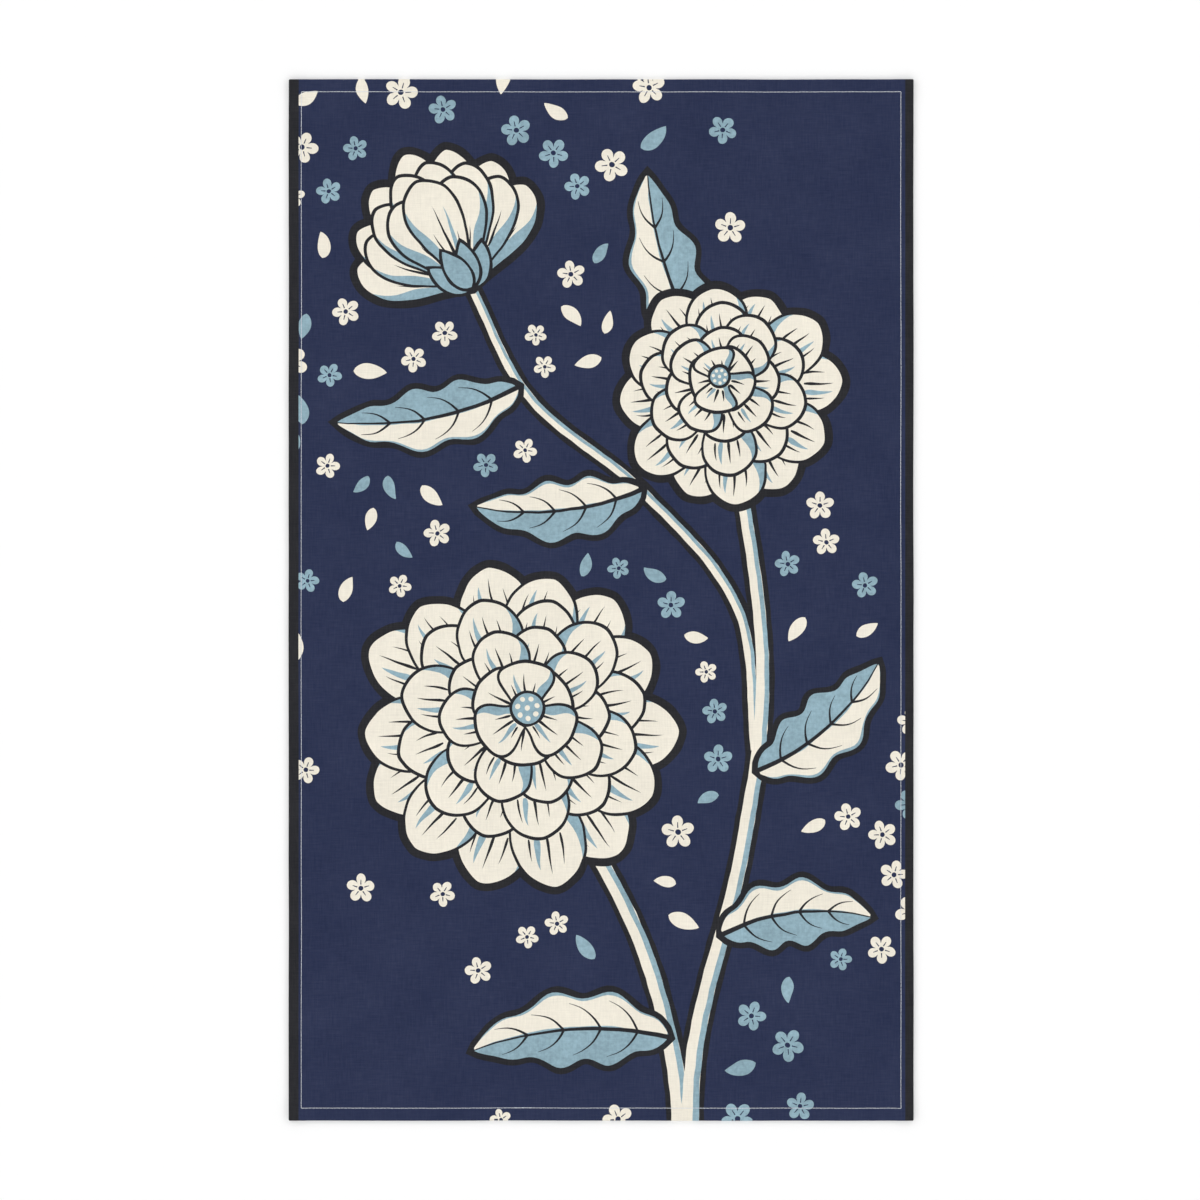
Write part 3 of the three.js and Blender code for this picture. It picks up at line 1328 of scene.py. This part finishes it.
def seam_path(shape, facing):
    """A mesh with one edge for each stitch, from needle hole to needle hole, on one face of the towel."""
    runs = seam_runs(shape, 1)
    first_stitches = runs[0][BACKTACK_START:BACKTACK_START + BACKTACK_STITCHES + 1]
    runs.append([place + 1j * shape.sewing.thread * BACKTACK_OFFSET for place in first_stitches])
    places = [place for run in runs for place in run]
    x = np.array([place.real for place in places])
    y = np.array([place.imag for place in places])
    height = shape.upper(x, y) if facing > 0 else shape.under(x, y)
    x, y = shape.settled(x, y)
    edges = []
    first = 0
    for run in runs:
        edges += [(first + k, first + k + 1) for k in range(len(run) - 1)]
        first += len(run)
    mesh = bpy.data.meshes.new("seam_path")
    mesh.from_pydata([*zip(x, y, height)], edges, [])
    return mesh


def stitch_tree():
    """Lays one stitch along every edge of a path and dips its two ends into the cloth."""
    tree = bpy.data.node_groups.new("hem_stitches", "GeometryNodeTree")
    for name, kind in STITCH_INPUTS:
        tree.interface.new_socket(name, in_out="INPUT", socket_type=kind)
    tree.interface.new_socket("Stitches", in_out="OUTPUT", socket_type="NodeSocketGeometry")
    nodes = NodeTree(tree)
    given = nodes.add("NodeGroupInput").outputs

    # One stitch, a metre long until it is scaled to its edge.
    low = nodes.math("MULTIPLY", given["Dip"], -1.0)
    high = nodes.math("DIVIDE", nodes.math("MULTIPLY_ADD", given["Dip"], 0.25, given["Rise"]), 0.75)

    def point(x, z):
        return nodes.add("ShaderNodeCombineXYZ", {"X": x, "Z": z}).outputs[0]

    arc = nodes.add("GeometryNodeCurvePrimitiveBezierSegment", {
        "Resolution": 6, "Start": point(-0.5, low), "Start Handle": point(-0.5, high),
        "End Handle": point(0.5, high), "End": point(0.5, low),
    })
    radius = nodes.math("MULTIPLY", given["Thread Thickness"], 0.5)
    section = nodes.add("GeometryNodeCurvePrimitiveCircle", {"Resolution": 6, "Radius": radius})

    def numbered(curve, name):
        share = nodes.add("GeometryNodeSplineParameter").outputs["Factor"]
        return nodes.add("GeometryNodeStoreNamedAttribute", {
            "Geometry": curve, "Name": name, "Value": share,
        }).outputs[0]

    stitch = nodes.add("GeometryNodeCurveToMesh", {
        "Curve": numbered(arc.outputs[0], "along"),
        "Profile Curve": numbered(section.outputs[0], "around"),
        "Fill Caps": True,
    })

    # Its place, heading and length come from the edge.
    ends = nodes.add("GeometryNodeInputMeshEdgeVertices").outputs
    heading = nodes.vector("SUBTRACT", ends["Position 2"], ends["Position 1"])
    length = nodes.add("ShaderNodeVectorMath", {0: heading}, operation="LENGTH").outputs["Value"]
    captured = nodes.add("GeometryNodeCaptureAttribute", {"Geometry": given["Path"]}, domain="EDGE")
    captured.capture_items.new("VECTOR", "Heading")
    captured.capture_items.new("FLOAT", "Length")
    nodes.put(captured.inputs["Heading"], heading)
    nodes.put(captured.inputs["Length"], length)
    middles = nodes.add("GeometryNodeMeshToPoints", {"Mesh": captured.outputs[0]}, mode="EDGES")

    sideways = nodes.vector("CROSS_PRODUCT", captured.outputs["Heading"], given["Facing"])
    chance = nodes.add("FunctionNodeRandomValue", {"Min": -1.0, "Max": 1.0, "Seed": given["Seed"]})
    off_line = nodes.math("MULTIPLY", chance.outputs["Value"], given["Jitter"])
    strayed = nodes.add("GeometryNodeSetPosition", {
        "Geometry": middles.outputs[0],
        "Offset": nodes.scaled(nodes.vector("NORMALIZE", sideways), off_line),
    })

    turned = nodes.add("FunctionNodeAxesToRotation", {
        "Primary Axis": captured.outputs["Heading"], "Secondary Axis": given["Facing"],
    }, primary_axis="X", secondary_axis="Z")
    shown = nodes.math("SUBTRACT", captured.outputs["Length"], given["Gap"])
    scale = nodes.add("ShaderNodeCombineXYZ", {"X": shown, "Y": 1.0, "Z": 1.0})
    laid = nodes.add("GeometryNodeInstanceOnPoints", {
        "Points": strayed.outputs[0], "Instance": stitch.outputs[0],
        "Rotation": turned.outputs[0], "Scale": scale.outputs[0],
    })
    real = nodes.add("GeometryNodeRealizeInstances", {"Geometry": laid.outputs[0]})
    smooth = nodes.add("GeometryNodeSetShadeSmooth", {"Geometry": real.outputs[0]})
    finished = nodes.add("GeometryNodeSetMaterial", {
        "Geometry": smooth.outputs[0], "Material": given["Thread"],
    })
    nodes.add("NodeGroupOutput", {"Stitches": finished.outputs[0]})
    return tree


def stitch_row(name, tree, path, values):
    """Runs the stitch tree over a path and keeps the result as a plain mesh."""
    piece = bpy.data.objects.new(name, path)
    bpy.context.scene.collection.objects.link(piece)
    modifier = piece.modifiers.new("Stitches", "NODES")
    modifier.node_group = tree
    for socket in tree.interface.items_tree:
        if socket.in_out == "INPUT" and socket.name in values:
            modifier[socket.identifier] = values[socket.name]
    graph = bpy.context.evaluated_depsgraph_get()
    mesh = bpy.data.meshes.new_from_object(piece.evaluated_get(graph), depsgraph=graph)
    mesh.name = name
    piece.modifiers.remove(modifier)
    piece.data = mesh
    bpy.data.meshes.remove(path)
    return piece


# The operators

KEY_LIGHT_PLACE = (-0.35, 0.40, 2.6)
KEY_LIGHT_SPREAD = math.radians(35)

# The low light comes from a ring in the sky and one like it below: the sine of its elevation, and how
# far it reaches up and down from there.
SIDE_LIGHT_HEIGHT = 0.40
SIDE_LIGHT_REACH = 0.25

SENSOR_WIDTH = 36.0
CLIP_END = 50.0

# How far the floor reaches each way, and how far it lies below the towel.
FLOOR_REACH = 12.0
FLOOR_GAP = 0.00005


class TeaTowelMakeCloth(bpy.types.Operator):
    """Make the hemmed cloth with its print"""

    bl_idname = "tea_towel.make_cloth"
    bl_label = "Make Cloth"

    def execute(self, context):
        scene = context.scene
        cloth, inks, sewing = scene.tea_towel_cloth, scene.tea_towel_print, scene.tea_towel_sewing
        pattern = Print(inks)
        pattern.draw()
        shape = ClothShape(cloth, sewing)
        plan = Plan(shape, pattern.patches)
        mesh = cloth_mesh(shape, plan, inks)
        mesh.materials.append(printed_cotton(cloth, inks))
        piece = bpy.data.objects.new("tea_towel_cloth", mesh)
        scene.collection.objects.link(piece)
        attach(piece, "root")
        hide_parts("tea_towel")
        return {"FINISHED"}


class TeaTowelSewHems(bpy.types.Operator):
    """Sew the hems down with a row of lockstitches that shows on both faces"""

    bl_idname = "tea_towel.sew_hems"
    bl_label = "Sew Hems"

    def execute(self, context):
        scene = context.scene
        sewing = scene.tea_towel_sewing
        shape = ClothShape(scene.tea_towel_cloth, sewing)
        thread = sewing_thread(sewing)
        tree = stitch_tree()
        for name, facing, rise in (
            ("hem_stitches_front", 1.0, FRONT_RISE),
            ("hem_stitches_back", -1.0, BACK_RISE),
        ):
            row = stitch_row(name, tree, seam_path(shape, facing), {
                "Thread Thickness": sewing.thread,
                "Gap": sewing.gap,
                "Rise": sewing.thread * rise,
                "Dip": sewing.thread * STITCH_DIP,
                "Facing": (0.0, 0.0, facing),
                "Jitter": sewing.jitter,
                "Seed": sewing.seed,
                "Thread": thread,
            })
            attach(row, "root")
        return {"FINISHED"}


class TeaTowelSetStage(bpy.types.Operator):
    """Set the camera straight above the towel, with soft light and a pale floor"""

    bl_idname = "tea_towel.set_stage"
    bl_label = "Set Stage"

    def execute(self, context):
        scene = context.scene
        stage = scene.tea_towel_stage
        self.add_camera(scene, stage)
        self.add_light(scene, stage)
        self.add_floor(scene, stage)
        scene.view_settings.view_transform = "Standard"
        return {"FINISHED"}

    def add_camera(self, scene, stage):
        camera = bpy.data.cameras.new("camera")
        camera.lens = stage.lens
        camera.sensor_width = SENSOR_WIDTH
        camera.clip_end = CLIP_END
        above = stage.view_width * camera.lens / camera.sensor_width
        holder = bpy.data.objects.new("camera", camera)
        holder.location = (-stage.view_shift, 0.0, scene.tea_towel_cloth.hem_thickness + above)
        scene.collection.objects.link(holder)
        scene.camera = holder

    def add_light(self, scene, stage):
        world = bpy.data.worlds.new("daylight")
        world.use_nodes = True
        sky = world.node_tree.nodes["Background"]
        sky.inputs["Color"].default_value = (1.0, 1.0, 1.0, 1.0)
        nodes = NodeTree(world.node_tree)
        direction = nodes.add("ShaderNodeTexCoord").outputs["Generated"]
        height = nodes.math("ABSOLUTE", nodes.add("ShaderNodeSeparateXYZ", {0: direction}).outputs[2])
        off = nodes.math("DIVIDE", nodes.math("SUBTRACT", height, SIDE_LIGHT_HEIGHT), SIDE_LIGHT_REACH)
        ring = nodes.math("MAXIMUM", nodes.math("SUBTRACT", 1.0, nodes.math("MULTIPLY", off, off)), 0.0)
        strength = nodes.math("MULTIPLY_ADD", ring, stage.side_light, stage.daylight)
        nodes.put(sky.inputs["Strength"], strength)
        scene.world = world
        lamp = bpy.data.lights.new("key_light", "SUN")
        lamp.angle = KEY_LIGHT_SPREAD
        lamp.energy = stage.key_light
        holder = bpy.data.objects.new("key_light", lamp)
        holder.location = KEY_LIGHT_PLACE
        aim = Vector((0.0, 0.0, 0.0)) - holder.location
        holder.rotation_euler = aim.to_track_quat("-Z", "Y").to_euler()
        scene.collection.objects.link(holder)

    def add_floor(self, scene, stage):
        level = CAD_BOX[0].z - FLOOR_GAP
        mesh = bpy.data.meshes.new("floor")
        ways = ((-1, -1), (1, -1), (1, 1), (-1, 1))
        corners = [(x * FLOOR_REACH, y * FLOOR_REACH, level) for x, y in ways]
        mesh.from_pydata(corners, [], [(0, 1, 2, 3)])
        mesh.materials.append(pale_floor(stage.floor))
        floor = bpy.data.objects.new("floor", mesh)
        scene.collection.objects.link(floor)


class TeaTowelPanel(bpy.types.Panel):
    """The tea towel's settings and steps"""

    bl_label = "Tea Towel"
    bl_idname = "VIEW3D_PT_tea_towel"
    bl_space_type = "VIEW_3D"
    bl_region_type = "UI"
    bl_category = "Tea Towel"

    def draw(self, context):
        for group, step in STEPS:
            settings = getattr(context.scene, group)
            box = self.layout.box()
            for name in settings.__annotations__:
                box.prop(settings, name)
            if step:
                box.operator(step)


SETTINGS = {
    "tea_towel_stage": TeaTowelStageSettings,
    "tea_towel_cloth": TeaTowelClothSettings,
    "tea_towel_print": TeaTowelPrintSettings,
    "tea_towel_sewing": TeaTowelSewingSettings,
}
STEPS = (
    ("tea_towel_stage", TeaTowelSetStage.bl_idname),
    ("tea_towel_print", None),
    ("tea_towel_cloth", TeaTowelMakeCloth.bl_idname),
    ("tea_towel_sewing", TeaTowelSewHems.bl_idname),
)
CLASSES = (*SETTINGS.values(), TeaTowelMakeCloth, TeaTowelSewHems, TeaTowelSetStage, TeaTowelPanel)


def register():
    for kind in CLASSES:
        bpy.utils.register_class(kind)
    for name, kind in SETTINGS.items():
        setattr(bpy.types.Scene, name, PointerProperty(type=kind))


def unregister():
    for name in SETTINGS:
        delattr(bpy.types.Scene, name)
    for kind in reversed(CLASSES):
        bpy.utils.unregister_class(kind)


def main():
    """Sets the stage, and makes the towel."""
    register()
    bpy.ops.tea_towel.set_stage()
    bpy.ops.tea_towel.make_cloth()
    bpy.ops.tea_towel.sew_hems()


if __name__ == "__main__":
    main()
